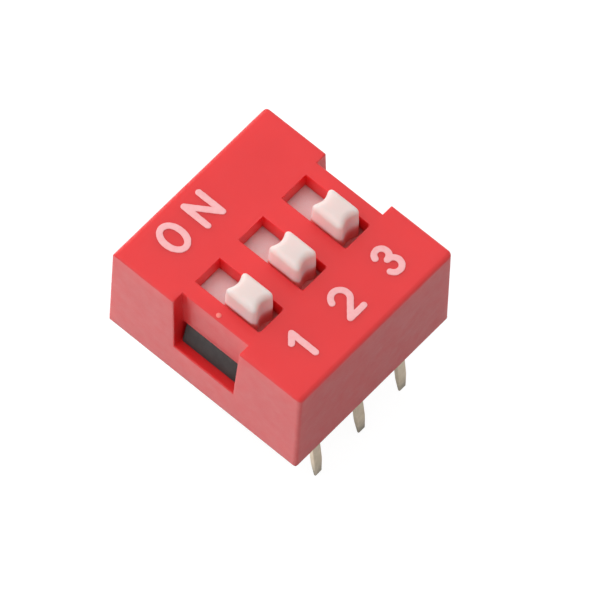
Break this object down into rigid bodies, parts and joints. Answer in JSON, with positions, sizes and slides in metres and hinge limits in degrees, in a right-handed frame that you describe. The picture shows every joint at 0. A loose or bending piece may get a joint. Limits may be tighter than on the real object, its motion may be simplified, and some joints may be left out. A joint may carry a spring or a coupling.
{
  "type": "dip switch",
  "caption": "Through-hole slide DIP switch: a red latched cover over a black base, white sliders that bridge contact pads, flared tinned pins and stamped ON and digit legends.",
  "frame": {"origin": "middle of the six-pin pattern on the seating plane, the underside of the cover's rim", "axes": "+X from switch 1 to switch 3, +Y towards the ON side, +Z out of the board"},
  "size_m": [0.0092, 0.0098, 0.01],
  "materials": {
    "cover_plastic": "moulded red thermoplastic, satin gloss",
    "base_plastic": "moulded black glass-filled thermoplastic, matt",
    "potting": "cast dark epoxy, slightly glossy",
    "slider_plastic": "moulded white thermoplastic, satin",
    "contact_metal": "gold-flashed copper alloy leaf",
    "tinned_metal": "stamped brass, matt tin plating",
    "stamped_foil": "white hot-stamped foil"
  },
  "bodies": {
    "housing": {"cover": "cover_plastic", "base": "base_plastic", "seal": "potting", "terminal_1": "tinned_metal", "terminal_2": "tinned_metal", "terminal_3": "tinned_metal", "terminal_4": "tinned_metal", "terminal_5": "tinned_metal", "terminal_6": "tinned_metal", "letter_o": "stamped_foil", "letter_n": "stamped_foil", "digit_1": "stamped_foil", "digit_2": "stamped_foil", "digit_3": "stamped_foil"},
    "switch_1": {"slider_1": "slider_plastic", "contact_1": "contact_metal"},
    "switch_2": {"slider_2": "slider_plastic", "contact_2": "contact_metal"},
    "switch_3": {"slider_3": "slider_plastic", "contact_3": "contact_metal"}
  },
  "joints": [
    {"name": "switch_1_slide", "type": "slide", "parent": "housing", "child": "switch_1", "axis": [0, 1, 0], "range_m": [0, 0.0009]},
    {"name": "switch_2_slide", "type": "slide", "parent": "housing", "child": "switch_2", "axis": [0, 1, 0], "range_m": [0, 0.0009]},
    {"name": "switch_3_slide", "type": "slide", "parent": "housing", "child": "switch_3", "axis": [0, 1, 0], "range_m": [0, 0.0009]}
  ]
}
